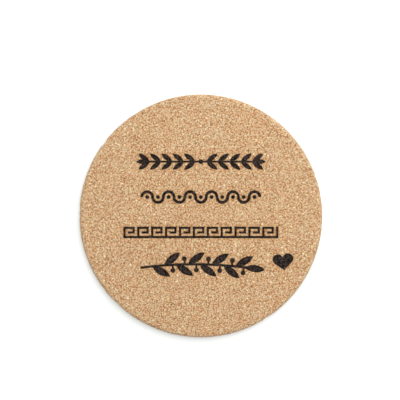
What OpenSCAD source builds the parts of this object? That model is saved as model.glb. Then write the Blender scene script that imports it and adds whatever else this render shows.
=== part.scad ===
// Round cork drink coaster with four rows of burnt ornament and a small heart.
// Millimetres. The disc lies on z = 0, its axis is z, and +y is the top of the design.

/* [Cork disc] */
// Diameter of the disc
disc_d = 100; // [80:1:130]
// Thickness of the disc
disc_t = 4; // [3:0.5:10]
// Radius that rounds the upper and the lower edge
edge_r = 1.6; // [0.4:0.1:1.8]

/* [Burning] */
// Depth of the burnt grooves below the top face
burn_depth = 0.4; // [0.3:0.05:0.8]
// Thickness of the charred layer on the floor of a groove
char_t = 0.15; // [0.05:0.05:0.25]

/* [Laurel row] */
// Length of a laurel leaf
laurel_leaf_l = 5.6; // [4:0.2:7]
// Width of a laurel leaf
laurel_leaf_w = 2; // [1.2:0.1:2.6]
// Angle between a laurel leaf and its stem
laurel_leaf_angle = 36; // [25:1:50]
// Clear distance between neighbouring laurel leaves
laurel_leaf_gap = 0.75; // [0.4:0.05:1.2]
// Width of the laurel stem
laurel_stem_w = 0.8; // [0.5:0.1:1.2]
// Diameter of the berry where the two laurel stems meet
laurel_berry_d = 2; // [1.4:0.1:3]

/* [Wave row] */
// Radius of a wave at the middle of its line
wave_r = 2.2; // [1.6:0.1:2.8]
// Width of the wave's line
wave_line_w = 1.2; // [0.5:0.1:1.3]
// Diameter of the dot in the hollow of each wave
wave_dot_d = 1.6; // [0.8:0.1:1.7]

/* [Key row] */
// Width of the Greek key's line
key_line_w = 0.95; // [0.5:0.05:1.3]
// Width of the gaps between the turns of the line
key_gap_w = 0.95; // [0.5:0.05:1.3]

/* [Olive row] */
// Length of an olive leaf
olive_leaf_l = 8.4; // [6:0.2:10]
// Width of an olive leaf
olive_leaf_w = 3; // [1.8:0.1:3.4]
// Angle between an olive leaf and its stem
olive_leaf_angle = 35; // [25:1:45]
// Clear distance between an olive and the leaves on either side of it
olive_gap = 0.4; // [0.3:0.05:0.8]
// Width of the olive stem
olive_stem_w = 1; // [0.6:0.1:1.4]
// Radius of the bow of the olive stem
olive_bow_r = 170; // [120:5:300]
// Diameter of an olive
olive_d = 2; // [1.4:0.1:2.6]
// Length of an olive's stalk
olive_stalk_l = 1.3; // [0.9:0.1:2]
// Width of an olive's stalk
olive_stalk_w = 0.8; // [0.4:0.1:0.9]

/* [Heart] */
// Width of the heart
heart_w = 8.5; // [6:0.1:11]
// Height of the heart from its point to the top of its lobes
heart_h = 6.7; // [5.5:0.1:9]
// Tilt of the heart, anticlockwise
heart_tilt = 6; // [-15:1:15]
// Clear distance between the olive branch and the heart
heart_gap = 3; // [2:0.1:6]

/* [Hidden] */
$fn = 96;

cork_tone = "#cfa980";
char_tone = "#2e2321";

// How far a cutting tool runs past the face that it cuts
overrun = 1;

disc_r = disc_d / 2;
// The rounding is limited to a share of the thickness, so that the two edges never meet
rim_cap_share = 0.45;
rim_r = min(edge_r, rim_cap_share * disc_t);
// Radius of the flat top inside the rounded edge, which the ornament is laid out on
face_r = disc_r - rim_r;
groove_z = disc_t - burn_depth;

// Height of each row's middle above the disc's centre, as shares of the flat radius
laurel_y_share = 0.46;
wave_y_share = 0.16;
key_y_share = -0.14;
olive_y_share = -0.41;
// Half the room that each row has, as shares of the flat radius
laurel_half_share = 0.57;
wave_half_share = 0.53;
key_half_share = 0.65;
olive_left_share = 0.53;
// Middle of the heart's lobes, as shares of the flat radius
heart_place_shares = [0.696, -0.366];

// Laurel leaves lie side by side, a gap apart. The first pair's place is a share of their pitch,
// and the last pair on each half shares its foot with the end leaf
laurel_pitch = (laurel_leaf_w + laurel_leaf_gap) / sin(laurel_leaf_angle);
laurel_first_share = 0.5;
laurel_room = laurel_half_share * face_r - laurel_leaf_l;
laurel_steps = floor(laurel_room / laurel_pitch - laurel_first_share);
laurel_end_x = (laurel_steps + laurel_first_share) * laurel_pitch;
laurel_stem_l = laurel_end_x + laurel_stem_w;

// The wave is a chain of half rings, turned up and down in turn
wave_pitch = 2 * wave_r;
wave_count = floor(2 * wave_half_share * face_r / wave_pitch);

// The key is drawn on a square net whose step is one line and one gap
key_step = key_line_w + key_gap_w;
// Bars of one turn, each [column, row, columns long, rows high], as shares of a step
key_bar_shares = [
    [0, 0, 3, 0],
    [0, 0, 0, 2],
    [0, 2, 2, 0],
    [2, 1, 0, 1],
    [1, 1, 1, 0]
];
key_turn_share = 3;
key_rise_share = 2;
key_pitch = key_turn_share * key_step;
key_count = floor(2 * key_half_share * face_r / key_pitch);
key_l = key_count * key_pitch + key_line_w;
key_h = key_rise_share * key_step + key_line_w;

// The lobes are a little larger than a quarter of the heart's width, so that they meet
lobe_r_share = 0.255;
lobe_r = lobe_r_share * heart_w;
lobe_x = heart_w / 2 - lobe_r;
point_drop = heart_h - lobe_r;
// Angle below level of the spot where a side meets its lobe, seen from the lobe's middle
side_angle = atan2(lobe_x, point_drop) + asin(lobe_r / norm([lobe_x, point_drop]));
// A side ends a little inside its lobe, as a share of the lobe's radius, so that the two cross
side_end_share = 0.995;
heart_place = heart_place_shares * face_r;

// The olive branch ends with its last leaf's tip a gap short of the heart, and begins where
// a whole number of leaves has used up the room on its left
olive_x0 = -olive_left_share * face_r;
olive_x1 = heart_place[0] - heart_w / 2 - heart_gap - olive_leaf_l + olive_stem_w;
// How far past its leaf's foot an olive stands, clear of that leaf's full width
olive_rise = olive_stalk_l + olive_d / 2;
olive_reach = (olive_leaf_w + olive_d) / 2 + olive_gap + olive_rise * cos(olive_leaf_angle);
olive_along = olive_reach / sin(olive_leaf_angle);
// Leaves stand to either side in turn, half a pitch apart
olive_pitch = olive_along + olive_d / 2 + olive_gap;
olive_half_step = olive_pitch / 2;
olive_leaves = floor((olive_x1 - olive_x0) / olive_half_step);
olive_stem_l = olive_leaves * olive_half_step;
olive_mid_x = olive_x1 - olive_stem_l / 2;

// Angle that a length along the olive stem spans at the middle of its bow
function bow_angle(along) = along / olive_bow_r * 180 / PI;

// Pointed leaf along +x from its foot at the origin: the overlap of two equal circles
module leaf(leaf_l, leaf_w) {
    half_l = leaf_l / 2;
    half_w = leaf_w / 2;
    side_r = (half_l * half_l + half_w * half_w) / leaf_w;
    translate([half_l, 0])
        intersection() {
            translate([0, half_w - side_r]) circle(side_r);
            translate([0, side_r - half_w]) circle(side_r);
        }
}

// Two laurel stems that run outwards from a berry, with leaves in pairs and an end leaf
module laurel_outline() {
    translate([0, laurel_y_share * face_r]) {
        circle(d = laurel_berry_d);
        square([2 * laurel_stem_l, laurel_stem_w], center = true);
        for (side = [0, 1])
            mirror([side, 0]) {
                for (pair = [0 : laurel_steps])
                    translate([(pair + laurel_first_share) * laurel_pitch, 0]) {
                        rotate(laurel_leaf_angle) leaf(laurel_leaf_l, laurel_leaf_w);
                        rotate(-laurel_leaf_angle) leaf(laurel_leaf_l, laurel_leaf_w);
                    }
                translate([laurel_end_x, 0]) leaf(laurel_leaf_l, laurel_leaf_w);
            }
    }
}

// Upper half of a ring that is one wave wide, on its own middle
module half_ring() {
    outer_r = wave_r + wave_line_w / 2;
    intersection() {
        difference() {
            circle(outer_r);
            circle(wave_r - wave_line_w / 2);
        }
        translate([-outer_r, 0]) square([2 * outer_r, outer_r]);
    }
}

// Half rings turned up and down in turn, with a dot in the hollow of each
module wave_outline() {
    translate([-(wave_count - 1) * wave_r, wave_y_share * face_r])
        for (place = [0 : wave_count - 1])
            translate([place * wave_pitch, 0]) {
                mirror([0, place % 2]) half_ring();
                circle(d = wave_dot_d);
            }
}

// Greek key, whose line turns in on itself once in each pitch, with a post to close it
module key_outline() {
    translate([-key_l / 2, key_y_share * face_r - key_h / 2]) {
        for (turn = [0 : key_count - 1])
            translate([turn * key_pitch, 0])
                for (bar = key_bar_shares)
                    translate([bar[0] * key_step, bar[1] * key_step])
                        square([bar[2] * key_step + key_line_w, bar[3] * key_step + key_line_w]);
        translate([key_count * key_pitch, 0]) square([key_line_w, key_h]);
    }
}

// Puts a shape on the olive stem at a length along it from its middle
module on_bow(along) {
    translate([0, -olive_bow_r])
        rotate(-bow_angle(along))
            translate([0, olive_bow_r])
                children();
}

// Olive on its stalk, standing straight up from the stem
module olive() {
    translate([-olive_stalk_w / 2, 0]) square([olive_stalk_w, olive_rise]);
    translate([0, olive_rise]) circle(d = olive_d);
}

// The bowed stem: a slice of a ring between the two ends
module olive_stem() {
    reach_angle = bow_angle(olive_stem_l / 2);
    outer_r = olive_bow_r + olive_stem_w / 2;
    translate([0, -olive_bow_r])
        intersection() {
            difference() {
                circle(outer_r);
                circle(outer_r - olive_stem_w);
            }
            polygon([
                [0, 0],
                2 * outer_r * [sin(reach_angle), cos(reach_angle)],
                2 * outer_r * [-sin(reach_angle), cos(reach_angle)]
            ]);
        }
}

// Bowed branch with leaves to either side in turn, an olive after each, and an end leaf
module olive_outline() {
    translate([olive_mid_x, olive_y_share * face_r]) {
        olive_stem();
        for (place = [1 : olive_leaves - 1]) {
            along = place * olive_half_step - olive_stem_l / 2;
            on_bow(along)
                mirror([0, place % 2]) rotate(olive_leaf_angle) leaf(olive_leaf_l, olive_leaf_w);
            if (place < olive_leaves - 1)
                on_bow(along + olive_along) mirror([0, place % 2]) olive();
        }
        on_bow(olive_stem_l / 2 - olive_stem_w) leaf(olive_leaf_l, olive_leaf_w);
    }
}

// Two round lobes, and a body whose straight sides run from the point into the lobes
module heart_outline() {
    side_end_r = side_end_share * lobe_r;
    side_end = [lobe_x + side_end_r * cos(side_angle), -side_end_r * sin(side_angle)];
    translate(heart_place)
        rotate(heart_tilt) {
            translate([lobe_x, 0]) circle(lobe_r);
            translate([-lobe_x, 0]) circle(lobe_r);
            polygon([
                [0, -point_drop],
                side_end,
                [lobe_x, 0],
                [-lobe_x, 0],
                [-side_end[0], side_end[1]]
            ]);
        }
}

// Charred layer on the floor of a groove of the outline given
module char_layer() {
    translate([0, 0, groove_z])
        linear_extrude(char_t)
            children();
}

module edge_profile() {
    straight_h = disc_t - 2 * rim_r;
    square([face_r, disc_t]);
    translate([0, rim_r]) square([disc_r, straight_h]);
    translate([face_r, rim_r]) circle(rim_r);
    translate([face_r, rim_r + straight_h]) circle(rim_r);
}

module cork_disc() {
    color(cork_tone)
        difference() {
            rotate_extrude() edge_profile();
            translate([0, 0, groove_z])
                linear_extrude(burn_depth + overrun) {
                    laurel_outline();
                    wave_outline();
                    key_outline();
                    olive_outline();
                    heart_outline();
                }
        }
}

module burnt_laurel_row() {
    color(char_tone) char_layer() laurel_outline();
}

module burnt_wave_row() {
    color(char_tone) char_layer() wave_outline();
}

module burnt_key_row() {
    color(char_tone) char_layer() key_outline();
}

module burnt_olive_row() {
    color(char_tone) char_layer() olive_outline();
}

module burnt_heart() {
    color(char_tone) char_layer() heart_outline();
}

cork_disc();
burnt_laurel_row();
burnt_wave_row();
burnt_key_row();
burnt_olive_row();
burnt_heart();
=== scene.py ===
# %% [markdown]
# A round cork coaster
#
# This lesson dresses a plain model of a cork coaster so that it looks like the real thing. The real
# coaster is one disc, punched from a sheet of cork granules that were pressed together with a
# binder, then sanded. Rows of ornament and a small heart are burnt into its top. The plain model
# fixes every size and place. Here it gets its crumbly surface, its charred grooves, its colours and
# its light. Every step works in the frame of the plain model, so that nothing has to be fitted
# afterwards.

# %% Load the plain model
import math

import bmesh
import bpy
import numpy as np
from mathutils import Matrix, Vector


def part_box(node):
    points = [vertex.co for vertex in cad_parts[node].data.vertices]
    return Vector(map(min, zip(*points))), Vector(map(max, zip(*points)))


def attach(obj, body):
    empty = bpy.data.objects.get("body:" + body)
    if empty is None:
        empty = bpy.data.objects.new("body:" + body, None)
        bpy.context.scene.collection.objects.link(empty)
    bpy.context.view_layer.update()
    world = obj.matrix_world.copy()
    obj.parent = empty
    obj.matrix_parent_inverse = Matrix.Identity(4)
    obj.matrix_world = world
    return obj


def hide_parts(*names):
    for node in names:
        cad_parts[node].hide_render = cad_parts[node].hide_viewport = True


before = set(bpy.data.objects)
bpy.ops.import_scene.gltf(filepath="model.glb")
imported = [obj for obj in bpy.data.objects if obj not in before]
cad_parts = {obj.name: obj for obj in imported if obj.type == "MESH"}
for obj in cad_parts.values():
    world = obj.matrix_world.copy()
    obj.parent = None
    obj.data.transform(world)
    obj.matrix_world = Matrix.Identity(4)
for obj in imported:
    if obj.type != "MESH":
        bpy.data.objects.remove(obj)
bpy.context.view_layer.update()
print("nodes:", sorted(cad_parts))

# %% [markdown]
# Sizes
#
# Blender works in metres, but a coaster is easier to think about in millimetres. The shapes below
# are worked out in millimetres and turned to metres only when they become meshes. The disc's radius
# and thickness and the heights of the burnt grooves are read from the plain model. Only the
# rounding of the edge is written here again, because a box around the disc can't tell it.

# %% Read the sizes
MM = 0.001
PER_METRE = 1000
EDGE_ROUND = 1.6
BURNT_NODES = [name for name in sorted(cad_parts) if name.startswith("burnt_")]

_, disc_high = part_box("cork_disc")
burnt_low, burnt_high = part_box("burnt_heart")
disc_radius = disc_high.x / MM
disc_thickness = disc_high.z / MM
flat_radius = disc_radius - EDGE_ROUND
groove_floor = burnt_low.z / MM
char_top = burnt_high.z / MM
print(f"disc {2 * disc_radius:.1f} x {disc_thickness:.1f} mm, groove floor at {groove_floor:.2f} mm")

# %% [markdown]
# The camera
#
# The coaster was photographed lying flat, from straight above, a little off its middle. A long lens
# far away gives the same even view. The distance follows from the width of the picture at the top
# face: a sensor of 36 mm behind a lens of 100 mm sees 0.36 m of width for each metre of distance.

# %% Place the camera
# Width and middle of the picture on the top face, then sensor and lens, all in mm
VIEW_WIDTH = 164.05
VIEW_MIDDLE = (-0.34, 6.54)
SENSOR_WIDTH = 36
LENS = 100

camera_data = bpy.data.cameras.new("camera")
camera_data.type = "PERSP"
camera_data.sensor_width = SENSOR_WIDTH
camera_data.lens = LENS
camera = bpy.data.objects.new("camera", camera_data)
view_distance = VIEW_WIDTH * LENS / SENSOR_WIDTH
camera.location = (
    VIEW_MIDDLE[0] * MM,
    VIEW_MIDDLE[1] * MM,
    (disc_thickness + view_distance) * MM,
)
bpy.context.scene.collection.objects.link(camera)
bpy.context.scene.camera = camera
bpy.context.scene.view_settings.view_transform = "Standard"
print(f"camera {view_distance:.0f} mm above the top face")

# %% [markdown]
# Colours and nodes
#
# Colours are picked as sRGB hex values, the way a paint program shows them, but light adds up in
# linear values, so one function turns the first into the second. Materials are small graphs of
# nodes. One more function adds a node, sets its properties, its fixed inputs and the stops of its
# colour ramp, and joins its other inputs to sockets of nodes made earlier.


# %% Helpers for colours and nodes
def linear(hex_colour):
    """Linear colour of an sRGB hex value: each channel c becomes ((c + 0.055) / 1.055) to the power
    2.4, or c / 12.92 where it is nearly black."""
    srgb = [int(hex_colour[start:start + 2], 16) / 255 for start in (1, 3, 5)]
    return [c / 12.92 if c <= 0.04045 else ((c + 0.055) / 1.055) ** 2.4 for c in srgb] + [1]


def add_node(tree, kind, settings=None, values=None, links=None, stops=None):
    """Adds one node: settings are its properties, values its fixed inputs, links the sockets that
    feed its other inputs, and stops the places and hex colours of a colour ramp."""
    node = tree.nodes.new(kind)
    for name, value in (settings or {}).items():
        setattr(node, name, value)
    for socket, value in (values or {}).items():
        node.inputs[socket].default_value = value
    for socket, source in (links or {}).items():
        tree.links.new(source, node.inputs[socket])
    if stops:
        elements = node.color_ramp.elements
        elements.remove(elements[1])
        elements[0].position = stops[0][0]
        elements[0].color = linear(stops[0][1])
        for position, hex_colour in stops[1:]:
            elements.new(position).color = linear(hex_colour)
    return node


print("mid cork tone in linear light:", [round(c, 3) for c in linear("#cfa980")])

# %% [markdown]
# The lamp
#
# The coaster lies on white paper in soft light that comes mostly from the upper right: the lower
# left edge is darker and its shadow reaches a couple of millimetres, while the upper right edge is
# pale and has almost none. A sun lamp would draw the shadow too sharp, so a large square lamp makes
# that light, and an even white sky fills the rest. Together they add up to 1 on a level surface, so
# that a colour renders about as it is written.
#
# The lamp's power follows from its share. Seen from the coaster, a lamp of side s at a distance d
# fills 4/pi q atan(q) of the light that a whole bright sky would send to a surface square to it,
# where q = (s/2) / sqrt(d^2 + (s/2)^2). A lamp of P watts shines with P / (pi s^2) on every side.

# %% Lamp
# Share of the light, direction, then distance and side in metres
LAMP_SHARE = 0.6
LAMP_AZIMUTH = math.radians(60)
LAMP_ELEVATION = math.radians(60)
LAMP_DISTANCE = 0.65
LAMP_SIZE = 0.58

lamp_data = bpy.data.lights.new("window_lamp", "AREA")
lamp_data.size = LAMP_SIZE
half_width = LAMP_SIZE / 2 / math.hypot(LAMP_DISTANCE, LAMP_SIZE / 2)
sky_filled = 4 / math.pi * half_width * math.atan(half_width)
level_share = sky_filled * math.sin(LAMP_ELEVATION)
lamp_data.energy = LAMP_SHARE * math.pi * LAMP_SIZE ** 2 / level_share
lamp = bpy.data.objects.new("window_lamp", lamp_data)
lamp_aside = LAMP_DISTANCE * math.cos(LAMP_ELEVATION)
lamp.location = (
    lamp_aside * math.cos(LAMP_AZIMUTH),
    lamp_aside * math.sin(LAMP_AZIMUTH),
    LAMP_DISTANCE * math.sin(LAMP_ELEVATION),
)
lamp.rotation_euler = (0, math.pi / 2 - LAMP_ELEVATION, LAMP_AZIMUTH)
bpy.context.scene.collection.objects.link(lamp)
print(f"lamp of {lamp_data.energy:.2f} W")

# %% [markdown]
# The sky
#
# The sky lights the coaster with what the lamp leaves over, but it should still look pure white. So
# its strength depends on the ray that meets it: 1 for rays from the camera, a mirror or glass, and
# its share of the light for all others.

# %% Sky
SKY_SHARE = 1 - LAMP_SHARE
SKY_TONE = "#ffffff"


def seen_directly(tree):
    """Socket that is 1 for rays from the camera, a mirror or glass, and 0 for rays that only carry
    light: the largest of the three tests."""
    path = add_node(tree, "ShaderNodeLightPath")
    seen = path.outputs["Is Camera Ray"]
    for test in ("Is Glossy Ray", "Is Transmission Ray"):
        largest = add_node(tree, "ShaderNodeMath", {"operation": "MAXIMUM"}, links={
            0: seen,
            1: path.outputs[test],
        })
        seen = largest.outputs[0]
    return seen


world = bpy.data.worlds.new("white_sky")
world.use_nodes = True
sky_tree = world.node_tree
sky_tree.nodes.clear()
strength = add_node(sky_tree, "ShaderNodeMapRange", values={
    "To Min": SKY_SHARE,
    "To Max": 1,
}, links={"Value": seen_directly(sky_tree)})
background = add_node(sky_tree, "ShaderNodeBackground", values={"Color": linear(SKY_TONE)}, links={
    "Strength": strength.outputs[0],
})
add_node(sky_tree, "ShaderNodeOutputWorld", links={"Surface": background.outputs[0]})
bpy.context.scene.world = world
print(f"sky of {SKY_SHARE:.2f}")

# %% [markdown]
# The white ground
#
# White paper that takes a shadow has to be bright enough to print white and still get darker where
# light is missing. The ground is a matt pale plane. What the camera sees of it is lifted by a small
# glow that only camera, mirror and glass rays notice, so the lift never lights the coaster. Far from
# the coaster, where the lamp hardly reaches, the glow is stronger, so that the paper stays white up
# to the horizon.

# %% White paper
# Tone of the paper, its glow near and far, and where the glow starts and ends to grow, in metres
PAPER_TONE = "#e3e8e6"
GROUND_GLOW = 0.36
FAR_GLOW = 0.85
GLOW_START = 0.12
GLOW_END = 0.6


def new_finish(name):
    """An empty material of this name, and its node tree."""
    finish = bpy.data.materials.new(name)
    finish.use_nodes = True
    finish.node_tree.nodes.clear()
    return finish, finish.node_tree


white_paper, paper_tree = new_finish("white_paper")
paper_place = add_node(paper_tree, "ShaderNodeTexCoord")
away = add_node(paper_tree, "ShaderNodeVectorMath", {"operation": "LENGTH"}, links={
    0: paper_place.outputs["Object"],
})
growing = add_node(paper_tree, "ShaderNodeMapRange", values={
    "From Min": GLOW_START,
    "From Max": GLOW_END,
    "To Min": GROUND_GLOW,
    "To Max": FAR_GLOW,
}, links={"Value": away.outputs["Value"]})
glow = add_node(paper_tree, "ShaderNodeMath", {"operation": "MULTIPLY"}, links={
    0: growing.outputs[0],
    1: seen_directly(paper_tree),
})
paper = add_node(paper_tree, "ShaderNodeBsdfDiffuse", values={"Color": linear(PAPER_TONE)})
lift = add_node(paper_tree, "ShaderNodeEmission", links={"Strength": glow.outputs[0]})
both = add_node(paper_tree, "ShaderNodeAddShader", links={0: paper.outputs[0], 1: lift.outputs[0]})
add_node(paper_tree, "ShaderNodeOutputMaterial", links={"Surface": both.outputs[0]})
print("finish:", white_paper.name)

# %% Ground plane
# Half of its side in metres, and its distance below the coaster in mm
GROUND_HALF = 2
GROUND_BELOW = 0.02

ground_mesh = bpy.data.meshes.new("ground")
ground_corners = [(-1, -1), (1, -1), (1, 1), (-1, 1)]
ground_mesh.from_pydata(
    [(x * GROUND_HALF, y * GROUND_HALF, -GROUND_BELOW * MM) for x, y in ground_corners],
    [],
    [(0, 1, 2, 3)],
)
ground_mesh.materials.append(white_paper)
ground = bpy.data.objects.new("ground", ground_mesh)
bpy.context.scene.collection.objects.link(ground)
print("ground", 2 * GROUND_HALF, "m wide")

# %% [markdown]
# Agglomerated cork
#
# The sheet is made of cork granules, ground from bark, pressed and baked with a little binder, then
# cut and sanded flat. The cut runs through the granules, so the face is a mosaic of small irregular
# flecks: mostly tan, some straw yellow or cream, and a few dark brown ones that were the outer
# bark. Cork is matt: it scatters light and shows almost no highlight.
#
# A picture of cork could be wrapped around the disc, but it would stretch over the rim and repeat.
# Solid textures are better here. They are worked out from the place in space, so a granule that is
# cut by the rim goes on around it without a seam. A Voronoi texture draws exactly such a packing of
# cells, with one random colour to each. The places are pushed about by a noise first, so that the
# flecks aren't straight sided.

# %% Ragged places
# Size of the noise and how far it pushes, in mm
RAGGED_SIZE = 0.4
RAGGED_REACH = 0.2
RAGGED_DETAIL = 2
NOISE_MIDDLE = 0.5


def in_millimetres(tree):
    """Socket with the place on a piece in mm: its Object coordinates in metres times 1000."""
    place = add_node(tree, "ShaderNodeTexCoord")
    scaled = add_node(tree, "ShaderNodeVectorMath", {"operation": "SCALE"}, {"Scale": PER_METRE}, {
        0: place.outputs["Object"],
    })
    return scaled.outputs[0]


def ragged_place(tree, place):
    """Socket with a place that is pushed about: each coordinate moves by its own noise, from which
    the middle is taken away, times the reach."""
    noise = add_node(tree, "ShaderNodeTexNoise", values={
        "Scale": 1 / RAGGED_SIZE,
        "Detail": RAGGED_DETAIL,
    }, links={"Vector": place})
    centred = add_node(tree, "ShaderNodeVectorMath", {"operation": "SUBTRACT"}, {
        1: (NOISE_MIDDLE,) * 3,
    }, {0: noise.outputs["Color"]})
    pushed = add_node(tree, "ShaderNodeVectorMath", {"operation": "MULTIPLY_ADD"}, {
        1: (RAGGED_REACH,) * 3,
    }, {0: centred.outputs[0], 2: place})
    return pushed.outputs[0]


print(f"flecks are pushed about by up to {RAGGED_REACH / 2} mm")

# %% [markdown]
# Flecks and crumbs
#
# Two sizes of fleck are mixed, as in a real sheet: some of the coarse flecks are broken into fine
# ones. The flecks lie in crumbs, the granules that the eye sees as grains, and each crumb is paler
# in its middle than in the gap around it. The darker gap is partly the cork's own tone and partly
# painted shade of the hollows between granules. The fleck's random number and the crumb's lift are
# added up before a ramp of cork colours is read, because light and dark cork differ in hue as well:
# the dark tones are browner and the pale ones creamier.

# %% Flecks and crumbs
# Sizes in mm, and the share of coarse flecks that are broken
GRAIN_COARSE = 0.26
GRAIN_FINE = 0.2
FINE_SHARE = 0.55
CRUMB_SIZE = 0.727
# How freely crumbs are scattered, and where one's middle and gap lie, in crumb sizes
CRUMB_JITTER = 0.95
CRUMB_MIDDLE = 0.15
CRUMB_GAP = 0.65
# Tone: what a fleck's number counts, a crumb's mean, and how far its middle and gap depart from it,
# the darker gap being partly painted shade
FLECK_CONTRAST = 0.84
CRUMB_LIFT = 0.268
CRUMB_SHADE = 0.38
# Places of a Mix node's sockets: its factor, its two numbers, its two colours and its colour result
FACTOR, NUMBER_A, NUMBER_B, COLOUR_A, COLOUR_B, COLOUR_RESULT = 0, 2, 3, 6, 7, 2


def fleck_cells(tree, place):
    """Sockets with a fleck's random number and with the distance in mm to its seam: those of the
    fine cell where the coarse cell is a broken one, and of the coarse cell elsewhere."""
    numbers, seams = [], []
    for size in (GRAIN_COARSE, GRAIN_FINE):
        cells = add_node(tree, "ShaderNodeTexVoronoi", values={"Scale": 1 / size}, links={
            "Vector": place,
        })
        lot = add_node(tree, "ShaderNodeSeparateColor", links={0: cells.outputs["Color"]})
        numbers.append(lot.outputs)
        edges = add_node(tree, "ShaderNodeTexVoronoi", {"feature": "DISTANCE_TO_EDGE"}, {
            "Scale": 1 / size,
        }, {"Vector": place})
        wide = add_node(tree, "ShaderNodeMath", {"operation": "MULTIPLY"}, {1: size}, {
            0: edges.outputs["Distance"],
        })
        seams.append(wide.outputs[0])
    broken = add_node(tree, "ShaderNodeMath", {"operation": "LESS_THAN"}, {1: FINE_SHARE}, {
        0: numbers[0]["Blue"],
    })
    number, seam = (
        add_node(tree, "ShaderNodeMix", {"data_type": "FLOAT"}, links={
            FACTOR: broken.outputs[0],
            NUMBER_A: coarse,
            NUMBER_B: fine,
        })
        for coarse, fine in ((numbers[0]["Red"], numbers[1]["Red"]), seams)
    )
    return number.outputs[0], seam.outputs[0]


def crumb_tone_and_painted_shade(tree, place, number):
    """Socket with the tone of a fleck: its random number times the contrast, plus the lift of its
    crumb, which falls evenly from the crumb's middle to its gap. The lower tone at the gap is partly
    painted shade of the hollows between granules."""
    crumbs = add_node(tree, "ShaderNodeTexVoronoi", values={
        "Scale": 1 / CRUMB_SIZE,
        "Randomness": CRUMB_JITTER,
    }, links={"Vector": place})
    lift = add_node(tree, "ShaderNodeMapRange", values={
        "From Min": CRUMB_MIDDLE,
        "From Max": CRUMB_GAP,
        "To Min": CRUMB_LIFT + CRUMB_SHADE,
        "To Max": CRUMB_LIFT - CRUMB_SHADE,
    }, links={"Value": crumbs.outputs["Distance"]})
    tone = add_node(tree, "ShaderNodeMath", {"operation": "MULTIPLY_ADD"}, {1: FLECK_CONTRAST}, {
        0: number,
        2: lift.outputs[0],
    })
    return tone.outputs[0]


print(f"flecks of {GRAIN_COARSE} and {GRAIN_FINE} mm in crumbs of {CRUMB_SIZE} mm")

# %% [markdown]
# Tints
#
# Granules come from different bark, so some patches are a little pinker than others. Around the
# burnt marks the heat has stained the cork slightly, and the stain fades out within about two
# millimetres. Both are tints that multiply the cork's colour. How far a spot lies from the burning
# could be painted by hand, but it is better measured: it is an attribute of the disc's mesh, which
# is worked out when the grooves are cut.

# %% Tints
# Size of a patch in mm, and its tints
PATCH_SIZE = 0.9
PATCH_TINTS = [(0.0, "#fde7e3"), (1.0, "#ffffff")]
# Name of the attribute, reach of the stain in mm, and its tints from the burning outwards
SCORCH = "distance_from_char"
SCORCH_REACH = 2.2
SCORCH_TINTS = [
    (0.0, "#f0e9dc"),
    (0.15, "#f8f3eb"),
    (0.4, "#fbf8f3"),
    (0.7, "#fefdfb"),
    (1.0, "#ffffff"),
]


def patch_tint(tree, place):
    """Socket with the tint of a patch: the random number of its cell, read through a ramp."""
    patch = add_node(tree, "ShaderNodeTexVoronoi", values={"Scale": 1 / PATCH_SIZE}, links={
        "Vector": place,
    })
    lot = add_node(tree, "ShaderNodeSeparateColor", links={0: patch.outputs["Color"]})
    return add_node(tree, "ShaderNodeValToRGB", links={
        "Fac": lot.outputs["Red"],
    }, stops=PATCH_TINTS).outputs[0]


def scorch_tint(tree):
    """Socket with the tint of the heat: the distance from the char as a share of its reach, read
    through a ramp."""
    away = add_node(tree, "ShaderNodeAttribute", {"attribute_name": SCORCH})
    cooler = add_node(tree, "ShaderNodeMapRange", values={"From Max": SCORCH_REACH * MM}, links={
        "Value": away.outputs["Fac"],
    })
    return add_node(tree, "ShaderNodeValToRGB", links={
        "Fac": cooler.outputs[0],
    }, stops=SCORCH_TINTS).outputs[0]


print(f"patches of {PATCH_SIZE} mm, heat stain out to {SCORCH_REACH} mm")

# %% [markdown]
# Cork and binder
#
# The ramp of cork colours runs from the brown of bark to the cream of young cork. Thin darker seams
# of binder run between the flecks, where the distance to the nearest seam is small.

# %% Bound cork
FLECK_TONES = [
    (0.0, "#5f351b"),
    (0.1, "#a16d43"),
    (0.3, "#d4a271"),
    (0.5, "#f0cd9a"),
    (0.72, "#ffe8b8"),
    (0.9, "#fff8d1"),
    (1.0, "#ffffde"),
]
# Width of a seam in mm
SEAM_WIDTH = 0.03
BINDER_TONE = "#b27949"


def bound_cork(tree, place, tone, seam):
    """Socket with the cork's colour: the tone read through the ramp of cork colours, times both
    tints, and the binder's colour where the seam is near."""
    cork = add_node(tree, "ShaderNodeValToRGB", links={"Fac": tone}, stops=FLECK_TONES)
    colour = cork.outputs[0]
    for tint in (patch_tint(tree, place), scorch_tint(tree)):
        tinted = add_node(tree, "ShaderNodeMix", {
            "data_type": "RGBA",
            "blend_type": "MULTIPLY",
        }, {FACTOR: 1}, {COLOUR_A: colour, COLOUR_B: tint})
        colour = tinted.outputs[COLOUR_RESULT]
    inside = add_node(tree, "ShaderNodeMapRange", values={"From Max": SEAM_WIDTH}, links={
        "Value": seam,
    })
    packed = add_node(tree, "ShaderNodeMix", {"data_type": "RGBA"}, {
        COLOUR_A: linear(BINDER_TONE),
    }, {FACTOR: inside.outputs[0], COLOUR_B: colour})
    return packed.outputs[COLOUR_RESULT]


print(len(FLECK_TONES), "cork tones, seams of", SEAM_WIDTH, "mm")

# %% [markdown]
# The grain of cells
#
# Cork is a foam of tiny cells, and the cut opens them, which gives each granule a fine grain of
# light and dark. A real cell is about 0.04 mm across, far too fine to show here, so the grain is
# drawn at a quarter of a millimetre. Very faint broad blotches come from the way that the granules
# were poured. A noise makes both, since neither has edges.

# %% Cell grain
# Size in mm, detail, spread of the noise about its middle, and how far it lightens and darkens
CELL_GRAIN = (0.25, 1, 0.25, 0.3)
BLOTCHES = (11, 2, 0.2, 0.018)


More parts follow.
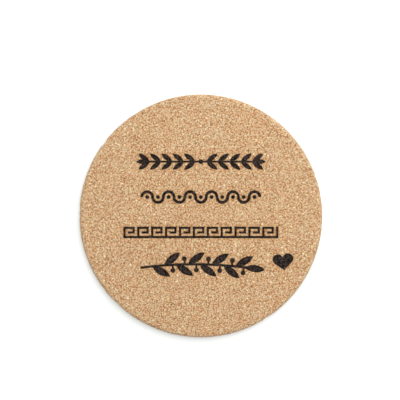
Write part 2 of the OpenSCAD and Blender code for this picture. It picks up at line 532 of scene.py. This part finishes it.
def cell_light(tree, place):
    """Sockets with the light of the grain and with the grain itself: the light is the product of
    two noises, each mapped from its spread to between 1 - shade and 1 + shade."""
    noises, lights = [], []
    for size, detail, spread, shade in (CELL_GRAIN, BLOTCHES):
        noise = add_node(tree, "ShaderNodeTexNoise", values={
            "Scale": 1 / size,
            "Detail": detail,
        }, links={"Vector": place})
        noises.append(noise.outputs["Fac"])
        shaded = add_node(tree, "ShaderNodeMapRange", values={
            "From Min": NOISE_MIDDLE - spread,
            "From Max": NOISE_MIDDLE + spread,
            "To Min": 1 - shade,
            "To Max": 1 + shade,
        }, links={"Value": noises[-1]})
        lights.append(shaded.outputs[0])
    light = add_node(tree, "ShaderNodeMath", {"operation": "MULTIPLY"}, links=dict(enumerate(lights)))
    return light.outputs[0], noises[0]


print(f"grain of {CELL_GRAIN[0]} mm, blotches of {BLOTCHES[0]} mm")

# %% [markdown]
# Specks, dust and painted rim light
#
# Last come the odd bits: dark specks of bark, cream specks of young cork, and a paler edge. The
# paler edge is partly cork dust that punching and rubbing leave, and partly painted light that
# lifts the shaded rounding of the rim. A speck is everything within a radius of a scattered point,
# so the same texture that packs the flecks can place the specks as well.

# %% Specks, dust and painted rim light
# Spacing and largest radius in mm, share of places that hold a speck, and tone
BARK_SPECKS = (2.4, 0.36, 0.4, "#6f4930")
CREAM_SPECKS = (1.2, 0.42, 0.3, "#ffe8bc")
# Tone of the rim's dust and painted light, its share at the very edge, and where it starts, in mm
# outside the flat
RIM_DUST_AND_LIGHT = "#ffdcb8"
RIM_DUST_AND_LIGHT_SHARE = 0.25
RIM_START = 0.3
# Factors that leave out a place's height
LEVEL_ONLY = (1, 1, 0)


def specked(tree, place, colour):
    """Socket with the colour and its specks: round spots about the points of a Voronoi texture. A
    point's random number gives its spot a radius, up to the largest, or none at all."""
    for spacing, largest, share, tone in (BARK_SPECKS, CREAM_SPECKS):
        near = add_node(tree, "ShaderNodeTexVoronoi", values={"Scale": 1 / spacing}, links={
            "Vector": place,
        })
        lot = add_node(tree, "ShaderNodeSeparateColor", links={0: near.outputs["Color"]})
        limit = add_node(tree, "ShaderNodeMapRange", values={
            "From Min": 1 - share,
            "To Max": largest / spacing,
        }, links={"Value": lot.outputs["Red"]})
        speck = add_node(tree, "ShaderNodeMath", {"operation": "LESS_THAN"}, links={
            0: near.outputs["Distance"],
            1: limit.outputs[0],
        })
        mixed = add_node(tree, "ShaderNodeMix", {"data_type": "RGBA"}, {
            COLOUR_B: linear(tone),
        }, {FACTOR: speck.outputs[0], COLOUR_A: colour})
        colour = mixed.outputs[COLOUR_RESULT]
    return colour


def dust_and_painted_light(tree, place, colour):
    """Socket with the colour and the rim's paler tone, partly cork dust and partly painted light on
    the shaded rounding, whose share grows evenly with the distance from the disc's axis, from just
    outside the flat to the edge."""
    level = add_node(tree, "ShaderNodeVectorMath", {"operation": "MULTIPLY"}, {1: LEVEL_ONLY}, {
        0: place,
    })
    radius = add_node(tree, "ShaderNodeVectorMath", {"operation": "LENGTH"}, links={
        0: level.outputs[0],
    })
    share = add_node(tree, "ShaderNodeMapRange", values={
        "From Min": flat_radius + RIM_START,
        "From Max": disc_radius,
        "To Max": RIM_DUST_AND_LIGHT_SHARE,
    }, links={"Value": radius.outputs["Value"]})
    mixed = add_node(tree, "ShaderNodeMix", {"data_type": "RGBA"}, {
        COLOUR_B: linear(RIM_DUST_AND_LIGHT),
    }, {FACTOR: share.outputs[0], COLOUR_A: colour})
    return mixed.outputs[COLOUR_RESULT]


# Reach of the paler rim, partly cork dust and partly painted light.
print(f"dust on the outer {disc_radius - flat_radius - RIM_START:.1f} mm of the disc")

# %% [markdown]
# The cork's finish
#
# The parts come together here. The seams and the fine grain also drive a bump, so that light from
# the side catches them. The shader is rough and has little specular, as cork has.

# %% Cork finish
# Weight of the grain in the bump, the bump's strength, and its depth in mm
CELL_HEIGHT = 0.6
BUMP_STRENGTH = 0.5
BUMP_DEPTH = 0.1
SEAM_SHOULDER = 2 * SEAM_WIDTH
CORK_ROUGHNESS = 0.9
CORK_SPECULAR = 0.2


def agglomerated_cork():
    """Cork: flecks in crumbs, bound by seams, times the light of the grain, with specks over them and
    the rim's dust and painted light. The bump's height is the rise beside the seams plus the weighted
    grain."""
    finish, tree = new_finish("agglomerated_cork")
    place = in_millimetres(tree)
    ragged = ragged_place(tree, place)
    number, seam = fleck_cells(tree, ragged)
    # The crumbs' darker gaps are partly painted shade.
    tone = crumb_tone_and_painted_shade(tree, ragged, number)
    light, grain = cell_light(tree, place)
    shaded = add_node(tree, "ShaderNodeVectorMath", {"operation": "SCALE"}, links={
        0: bound_cork(tree, ragged, tone, seam),
        "Scale": light,
    })
    # The rim's paler tone goes on last: partly cork dust, partly painted light on the rounding.
    colour = dust_and_painted_light(tree, place, specked(tree, ragged, shaded.outputs[0]))

    rise = add_node(tree, "ShaderNodeMapRange", values={"From Max": SEAM_SHOULDER}, links={
        "Value": seam,
    })
    height = add_node(tree, "ShaderNodeMath", {"operation": "MULTIPLY_ADD"}, {1: CELL_HEIGHT}, {
        0: grain,
        2: rise.outputs[0],
    })
    bump = add_node(tree, "ShaderNodeBump", values={
        "Strength": BUMP_STRENGTH,
        "Distance": BUMP_DEPTH * MM,
    }, links={"Height": height.outputs[0]})
    matt = add_node(tree, "ShaderNodeBsdfPrincipled", values={
        "Roughness": CORK_ROUGHNESS,
        "Specular IOR Level": CORK_SPECULAR,
    }, links={"Base Color": colour, "Normal": bump.outputs[0]})
    add_node(tree, "ShaderNodeOutputMaterial", links={"Surface": matt.outputs[0]})
    return finish


cork_finish = agglomerated_cork()
print("finish:", cork_finish.name, "with", len(cork_finish.node_tree.nodes), "nodes")

# %% [markdown]
# Charred cork
#
# The ornament is burnt by a laser, which turns the granules to char: near black, a little brown,
# and quite matt. Up close the granules still show, some a shade greyer, some with a brown core that
# wasn't burnt through. The same two tools serve again, a Voronoi texture for the granules and a
# noise for the soot on them.

# %% Char finish
# Sizes in mm, and the soot's share of the tone
CHAR_GRAIN = 0.34
SOOT_SIZE = 0.24
SOOT_DETAIL = 2
SOOT_SHARE = 0.5
CHAR_TONES = [
    (0.2, "#070401"),
    (0.35, "#15100b"),
    (0.5, "#28211e"),
    (0.65, "#403632"),
    (0.8, "#655751"),
]
# Strength of the bump, and its depth in mm
CHAR_BUMP_STRENGTH = 0.6
CHAR_BUMP_DEPTH = 0.1
CHAR_ROUGHNESS = 0.95
CHAR_SPECULAR = 0.1


def charred_cork():
    """Char: the random number of each granule and a finer noise, mixed by the soot's share, pick a
    near-black tone from a ramp, and the noise drives a bump."""
    finish, tree = new_finish("charred_cork")
    place = in_millimetres(tree)
    cells = add_node(tree, "ShaderNodeTexVoronoi", values={"Scale": 1 / CHAR_GRAIN}, links={
        "Vector": place,
    })
    lot = add_node(tree, "ShaderNodeSeparateColor", links={0: cells.outputs["Color"]})
    soot = add_node(tree, "ShaderNodeTexNoise", values={
        "Scale": 1 / SOOT_SIZE,
        "Detail": SOOT_DETAIL,
    }, links={"Vector": place})
    tone = add_node(tree, "ShaderNodeMix", {"data_type": "FLOAT"}, {FACTOR: SOOT_SHARE}, {
        NUMBER_A: lot.outputs["Red"],
        NUMBER_B: soot.outputs["Fac"],
    })
    char = add_node(tree, "ShaderNodeValToRGB", links={"Fac": tone.outputs[0]}, stops=CHAR_TONES)
    bump = add_node(tree, "ShaderNodeBump", values={
        "Strength": CHAR_BUMP_STRENGTH,
        "Distance": CHAR_BUMP_DEPTH * MM,
    }, links={"Height": soot.outputs["Fac"]})
    matt = add_node(tree, "ShaderNodeBsdfPrincipled", values={
        "Roughness": CHAR_ROUGHNESS,
        "Specular IOR Level": CHAR_SPECULAR,
    }, links={"Base Color": char.outputs[0], "Normal": bump.outputs[0]})
    add_node(tree, "ShaderNodeOutputMaterial", links={"Surface": matt.outputs[0]})
    return finish


char_finish = charred_cork()
print("finish:", char_finish.name, "with", len(char_finish.node_tree.nodes), "nodes")

# %% [markdown]
# Granules in the surface
#
# Colour alone would leave the face as flat as glass. On a sanded cork sheet the seams lie a little
# low, and here and there a whole granule has been torn out and left a pit. A displacement in the
# material would show only in the render, so the relief goes into the mesh. The same idea as in the
# texture gives it: points are scattered in space, one in each cell of a net, and each spot belongs
# to the nearest of them. Where the nearest and the second nearest are equally far, there is a seam.

# %% Scattered granules
# Large odd numbers and shifts that mix whole numbers well, and the number of values that they give
CELL_FACTORS = np.array([73856093, 19349663, 83492791], np.uint32)
SALT_FACTOR = 2654435761
STIRS = ((16, 0x7FEB352D), (15, 0x846CA68B), (16, 1))
MIX_VALUES = 2 ** 32
# Salts that give a cell its three coordinates and its random number
MIDDLE_SALTS = (1, 2, 3)
LOT_SALT = 4


def scatter(cells, salt):
    """A random number from 0 to 1 for each cell, the same on every run: its three whole numbers are
    multiplied by large odd numbers and mixed by exclusive or, and the mix is stirred by shifting
    and multiplying."""
    whole = cells.astype(np.int64).astype(np.uint32)
    mixed = np.bitwise_xor.reduce(whole * CELL_FACTORS, axis=1)
    mixed = mixed ^ np.uint32(salt * SALT_FACTOR % MIX_VALUES)
    for shift, factor in STIRS:
        mixed = (mixed ^ (mixed >> shift)) * np.uint32(factor)
    return mixed / MIX_VALUES


def granules(points, size):
    """For each point, how much farther the second nearest granule's middle is than the nearest
    one's, which is 0 on a seam, and the nearest granule's random number. Each cell of a net of that
    size holds one middle, and a point's own cell and the 26 around it are looked at."""
    scaled = points / size
    home = np.floor(scaled)
    nearest = np.full(len(points), np.inf)
    second = nearest.copy()
    lot = np.zeros(len(points))
    for step in np.ndindex(3, 3, 3):
        cell = home + np.array(step) - 1
        middle = cell + np.stack([scatter(cell, salt) for salt in MIDDLE_SALTS], axis=1)
        distance = np.linalg.norm(scaled - middle, axis=1)
        closer = distance < nearest
        second = np.where(closer, nearest, np.minimum(second, distance))
        lot = np.where(closer, scatter(cell, LOT_SALT), lot)
        nearest = np.where(closer, distance, nearest)
    return (second - nearest) * size, lot


print("random numbers of three cells:", scatter(np.eye(3), LOT_SALT).round(3))

# %% [markdown]
# The sanded relief
#
# Everything only goes down from the sanded face, because sanding leaves nothing standing above it.
# That also keeps the dressed disc inside the plain one.

# %% Sanded relief
# For coarse and fine granules: size, depth and reach of a seam, share and depth of torn pits, in mm
COARSE_RELIEF = (1.3, 0.03, 0.25, 0.04, 0.1)
FINE_RELIEF = (0.9, 0.03, 0.2, 0.08, 0.06)
DEEPEST = 0.22
# A cube of sample points for the printed line: half of its side in mm, and their number
SAMPLE_REACH = 40
SAMPLE_COUNT = 2000


def sanded_relief(points):
    """Depth in mm below the sanded face: for each granule size a bell-shaped dip along the seams,
    and a flat-bottomed pit with sloping sides where a granule was torn out, all limited to the
    deepest pit."""
    depth = np.zeros(len(points))
    for size, seam, reach, share, torn in (COARSE_RELIEF, FINE_RELIEF):
        gap, lot = granules(points, size)
        depth += seam * np.exp(-(gap / reach) ** 2)
        depth += torn * (lot < share) * np.clip(gap / reach, 0, 1)
    return np.minimum(depth, DEEPEST)


sample_points = np.random.default_rng(1).uniform(-SAMPLE_REACH, SAMPLE_REACH, (SAMPLE_COUNT, 3))
sample = sanded_relief(sample_points)
print(f"relief: mean {sample.mean():.3f} mm, deepest {sample.max():.3f} mm")

# %% [markdown]
# A net over a disc
#
# The face needs even, small squares everywhere, so that the pits are as sharp in the middle as at
# the rim. Rings around the centre would crowd there. Instead a square net is pressed into a circle:
# each point is drawn in a little the farther out it lies the other way, until the four sides lie on
# the circle. The lines of the net stay smooth, so no crease shows on the face.


# %% Square net pressed into a circle
def disc_net(steps):
    """Points of a square net laid on a disc of radius 1: each coordinate is multiplied by the root
    of 1 minus half the square of the other one, which takes the net's border to the circle."""
    line = np.linspace(-1, 1, steps + 1)
    across, up = (part.ravel() for part in np.meshgrid(line, line))
    return np.stack([across * np.sqrt(1 - up ** 2 / 2), up * np.sqrt(1 - across ** 2 / 2)], axis=1)


def net_faces(steps_x, steps_y):
    """Triangles of a net, anticlockwise seen from above: each point with its right and upper right
    neighbours, and with its upper right and upper ones. Three points are always flat, and a Boolean
    cuts flat faces cleanly."""
    row = steps_x + 1
    corner = (np.arange(steps_y)[:, None] * row + np.arange(steps_x)).ravel()
    return np.concatenate([
        np.stack([corner, corner + 1, corner + row + 1], axis=1),
        np.stack([corner, corner + row + 1, corner + row], axis=1),
    ])


def net_border(steps_x, steps_y):
    """Indices of a net's border points, anticlockwise from its lower left corner: each of the four
    sides but its last point."""
    row = steps_x + 1
    along = np.arange(steps_x)
    beside = np.arange(steps_y)
    return np.concatenate([
        along,
        beside * row + steps_x,
        steps_y * row + steps_x - along,
        (steps_y - beside) * row,
    ])


NET_STEPS = 224
RIM_POINTS = len(net_border(NET_STEPS, NET_STEPS))
print(f"{NET_STEPS} x {NET_STEPS} squares of about {2 * flat_radius / NET_STEPS:.2f} mm")

# %% [markdown]
# The disc's points
#
# The top is the fine net, the rim is a rounded profile carried around the disc, and the underside
# is a net half as fine, since it lies on the table. All points are first put on the smooth disc,
# then moved inwards by the relief. The punched rim is rougher than the sanded faces, so it is moved
# further, and a few larger chips are missing from it.

# %% Points of the disc
RIM_STEPS = 18
RIM_ROUGHER = 0.9
# Size, slope and depth of a chip in mm, and the share of places that are chipped
CHIP_SIZE = 4.5
CHIP_SLOPE = 1
CHIP_DEPTH = 0.3
CHIP_SHARE = 0.08
UNDERSIDE_INSET = 0.9


def rim_profile(share):
    """Rounded edge from the top's rim to the underside's, by share of its length: a quarter turn, a
    straight drop and another quarter turn. Returns the distance from the axis, the height, and the
    outward direction's turn."""
    quarter = EDGE_ROUND * np.pi / 2
    straight = disc_thickness - 2 * EDGE_ROUND
    along = share * (2 * quarter + straight)
    below = np.clip(along - quarter - straight, 0, quarter)
    turn = (np.clip(along, 0, quarter) + below) / EDGE_ROUND
    drop = np.clip(along - quarter, 0, straight)
    reach = flat_radius + EDGE_ROUND * np.sin(turn)
    return reach, disc_thickness - EDGE_ROUND + EDGE_ROUND * np.cos(turn) - drop, turn


def cork_disc_points():
    """Points of the top net, the rim's rings and the underside net. Each moves inwards by the
    relief times its roughness, which is 1 on the faces and grows to the middle of the rim, and by
    the chips, which are only on the rim."""
    top = disc_net(NET_STEPS) * flat_radius
    under = disc_net(NET_STEPS // 2) * (flat_radius - UNDERSIDE_INSET)
    east, north = disc_net(NET_STEPS)[net_border(NET_STEPS, NET_STEPS)].T
    shares = np.arange(1, RIM_STEPS + 1) / RIM_STEPS
    reach, height, turn = (part[:, None] for part in rim_profile(shares))
    aside, upward = np.sin(turn), np.cos(turn)
    rim = np.stack([reach * east, reach * north, height + 0 * east], axis=-1)
    outward = np.stack([aside * east, aside * north, upward + 0 * east], axis=-1)
    points = np.concatenate([
        np.column_stack([top, np.full(len(top), disc_thickness)]),
        rim.reshape(-1, 3),
        np.column_stack([under, np.zeros(len(under))]),
    ])
    outwards = np.concatenate([
        np.tile((0, 0, 1), (len(top), 1)),
        outward.reshape(-1, 3),
        np.tile((0, 0, -1), (len(under), 1)),
    ])
    roughness = np.concatenate([
        np.ones(len(top)),
        np.repeat(1 + RIM_ROUGHER * aside[:, 0], RIM_POINTS),
        np.ones(len(under)),
    ])
    gap, lot = granules(points, CHIP_SIZE)
    chips = CHIP_DEPTH * (lot < CHIP_SHARE) * np.clip(gap / CHIP_SLOPE, 0, 1) * (roughness - 1)
    depth = sanded_relief(points) * roughness + chips
    return points - outwards * depth[:, None]


disc_points = cork_disc_points()
print("disc:", len(disc_points), "points")

# %% [markdown]
# The disc's faces
#
# The border of a net has four sides, so the rim has four times as many points as a side has
# squares, and each second one meets a point of the coarser underside. A ring of triangles joins the
# two. A piece is an object at the origin with its place in its mesh, like the nodes of the plain
# model, so that a pattern on Object coordinates never slides.


# %% Faces of the disc
def cork_disc_faces():
    """Faces of the top, of the bands between the rim's rings, of the ring of triangles that joins
    the fine rim to the coarser underside, and of the underside, all facing outwards."""
    half = NET_STEPS // 2
    top = net_faces(NET_STEPS, NET_STEPS)
    rim_start = (NET_STEPS + 1) ** 2
    under_start = rim_start + RIM_STEPS * RIM_POINTS
    rings = np.vstack([
        net_border(NET_STEPS, NET_STEPS),
        np.arange(rim_start, under_start).reshape(RIM_STEPS, RIM_POINTS),
    ])
    following = np.roll(rings, -1, axis=1)
    bands = np.stack([rings[:-1], rings[1:], following[1:], following[:-1]], axis=-1)
    coarse = under_start + net_border(half, half)
    coarse_next = np.roll(coarse, -1)
    fine, fine_mid, fine_next = rings[-1][0::2], rings[-1][1::2], following[-1][1::2]
    join = np.concatenate([
        np.stack([coarse, fine_mid, fine], axis=1),
        np.stack([coarse, coarse_next, fine_mid], axis=1),
        np.stack([coarse_next, fine_next, fine_mid], axis=1),
    ])
    under = under_start + net_faces(half, half)[:, ::-1]
    return top.tolist() + bands.reshape(-1, 4).tolist() + join.tolist() + under.tolist()


def new_piece(name, points, faces, finishes):
    """Object at the origin with a mesh of these points, given in mm, and faces."""
    mesh = bpy.data.meshes.new(name)
    mesh.from_pydata(points * MM, [], faces)
    for finish in finishes:
        mesh.materials.append(finish)
    piece = bpy.data.objects.new(name, mesh)
    bpy.context.scene.collection.objects.link(piece)
    return piece


disc = new_piece("sanded_cork_disc", disc_points, cork_disc_faces(), [cork_finish, char_finish])
print("disc:", len(disc.data.polygons), "faces")

# %% [markdown]
# The burnt grooves
#
# The outlines of the ornament are exact in the plain model, so they are taken from there. A copy of
# each charred layer, with its loose triangles joined at their corners, is drawn up through the
# face, and a Boolean takes it out of the disc. The tool carries the char finish, which the Boolean
# hands on to the walls and floors that it cuts. The Manifold solver is made for closed meshes like
# these and takes about a second.
#
# The heat stain of the cork needs to know how far each point lies from the burning. A small graph
# of geometry nodes looks up the nearest point of the tool and stores the distance in the mesh.

# %% Raised outlines
# Top of the tools in mm, and the distance in metres within which loose corners are joined
TOOL_TOP = 6
WELD = 1e-6


def raised_outline(nodes, name):
    """Closed prisms over the outlines of these charred layers, from the groove's floor to above the
    face: the upper points of each layer's mesh are raised and the lower ones stay."""
    work = bmesh.new()
    for node in nodes:
        work.from_mesh(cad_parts[node].data)
    bmesh.ops.remove_doubles(work, verts=work.verts, dist=WELD)
    mesh = bpy.data.meshes.new(name)
    work.to_mesh(mesh)
    work.free()
    points = np.empty(3 * len(mesh.vertices), np.float32)
    mesh.vertices.foreach_get("co", points)
    points = points.reshape(-1, 3)
    upper = points[:, 2] > (groove_floor + char_top) / 2 * MM
    points[:, 2] = np.where(upper, TOOL_TOP * MM, points[:, 2])
    mesh.vertices.foreach_set("co", points.ravel())
    mesh.materials.clear()
    mesh.materials.append(char_finish)
    tool = bpy.data.objects.new(name, mesh)
    bpy.context.scene.collection.objects.link(tool)
    return tool


groove_tool = raised_outline(BURNT_NODES, "groove_tool")
print("groove tool:", len(groove_tool.data.polygons), "faces")

# %% Cut the grooves
SHARP_ANGLE = math.radians(45)


def note_distance(piece, target, name):
    """Adds a modifier that stores how far each point of a piece lies from the target's surface, in
    metres, under this name. Returns its graph of geometry nodes."""
    graph = bpy.data.node_groups.new(name, "GeometryNodeTree")
    for end in ("INPUT", "OUTPUT"):
        graph.interface.new_socket("Geometry", in_out=end, socket_type="NodeSocketGeometry")
    incoming = add_node(graph, "NodeGroupInput")
    shape = add_node(graph, "GeometryNodeObjectInfo", values={"Object": target})
    nearest = add_node(graph, "GeometryNodeProximity", {"target_element": "FACES"}, links={
        0: shape.outputs["Geometry"],
    })
    store = add_node(graph, "GeometryNodeStoreNamedAttribute", values={"Name": name}, links={
        "Geometry": incoming.outputs[0],
        "Value": nearest.outputs["Distance"],
    })
    add_node(graph, "NodeGroupOutput", links={0: store.outputs[0]})
    piece.modifiers.new(name, "NODES").node_group = graph
    return graph


def carve(piece, operation, tool, distance_name=None):
    """Applies a Boolean between a closed piece and a closed tool, notes the distance from the tool
    if it gets a name, removes the tool and shades the result smooth, with sharp edges where its
    faces meet at a large angle."""
    boolean = piece.modifiers.new(operation.lower(), "BOOLEAN")
    boolean.operation = operation
    boolean.solver = "MANIFOLD"
    boolean.material_mode = "TRANSFER"
    boolean.object = tool
    graph = note_distance(piece, tool, distance_name) if distance_name else None
    evaluated = piece.evaluated_get(bpy.context.evaluated_depsgraph_get())
    carved = bpy.data.meshes.new_from_object(evaluated)
    piece.modifiers.clear()
    if graph:
        bpy.data.node_groups.remove(graph)
    blank = piece.data
    piece.data = carved
    tool_mesh = tool.data
    bpy.data.objects.remove(tool)
    bpy.data.meshes.remove(tool_mesh)
    bpy.data.meshes.remove(blank)
    carved.name = piece.name
    carved.shade_smooth()
    carved.set_sharp_from_angle(angle=SHARP_ANGLE)


carve(disc, "DIFFERENCE", groove_tool, SCORCH)
print("carved disc:", len(disc.data.vertices), "points,", len(disc.data.polygons), "faces")

# %% [markdown]
# The charred layers
#
# On the floor of each groove lies a thin crust of char. Its outline is the groove's, and its top is
# as crumbly as the cork that it was burnt from. The outline could be filled with a fine net of its
# own, but its thin stems and round tips would need a net that follows them. So a slab with a rough
# top is made over the box of each layer, with points close enough together to show the crumbs, and
# a Boolean keeps what lies inside the outline.

# %% Crumbly slab
# Spacing of the points and sizes and depths of the crumbs, in mm
CINDER_SPACING = 0.22
CINDER_SIZES = (0.8, 0.45)
CINDER_DEPTHS = (0.05, 0.03)
# The dip at a crumb's edge is this many times narrower than the crumb
CINDER_STEEPNESS = 3
# How far the slab reaches past the layer's box at its sides and below it, in mm
SLAB_MARGIN = 0.5
SLAB_BELOW = 0.2


def char_relief(points):
    """Depth in mm below the crust's highest crumbs: each crumb is lowered by its random number, and
    its edge by a bell-shaped dip."""
    depth = np.zeros(len(points))
    for size, drop in zip(CINDER_SIZES, CINDER_DEPTHS):
        gap, lot = granules(points, size)
        depth += drop * lot + drop * np.exp(-(CINDER_STEEPNESS * gap / size) ** 2)
    return depth


def char_slab(node, name):
    """Closed slab over a layer's box: a net with a rough top, the same net below it, and a wall
    around them. The rough top lies about the height of the plain layer's top."""
    low, high = (np.array(corner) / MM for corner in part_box(node))
    size = high[:2] - low[:2] + 2 * SLAB_MARGIN
    steps_x, steps_y = np.ceil(size / CINDER_SPACING).astype(int)
    across = np.linspace(low[0] - SLAB_MARGIN, high[0] + SLAB_MARGIN, steps_x + 1)
    up = np.linspace(low[1] - SLAB_MARGIN, high[1] + SLAB_MARGIN, steps_y + 1)
    x, y = (part.ravel() for part in np.meshgrid(across, up))
    crust = np.column_stack([x, y, np.full(len(x), char_top)])
    floor = crust - (0, 0, char_top - groove_floor + SLAB_BELOW)
    crust[:, 2] += sum(CINDER_DEPTHS) / 2 - char_relief(crust)
    faces = net_faces(steps_x, steps_y)
    border = net_border(steps_x, steps_y)
    following = np.roll(border, -1)
    below = len(crust)
    wall = np.stack([border, border + below, following + below, following], axis=1)
    every = faces.tolist() + (faces[:, ::-1] + below).tolist() + wall.tolist()
    return new_piece(name, np.concatenate([crust, floor]), every, [char_finish])


print(f"slabs with a point every {CINDER_SPACING} mm")

# %% Build the charred layers
char_pieces = {}
for node in BURNT_NODES:
    name = node.replace("burnt_", "charred_")
    char_pieces[node] = char_slab(node, name)
    carve(char_pieces[node], "INTERSECT", raised_outline([node], name + "_tool"))
    print(name, len(char_pieces[node].data.polygons), "faces")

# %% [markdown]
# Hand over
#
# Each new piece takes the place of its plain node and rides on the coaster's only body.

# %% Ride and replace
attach(disc, "root")
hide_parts("cork_disc")
for node, piece in char_pieces.items():
    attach(piece, "root")
    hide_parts(node)
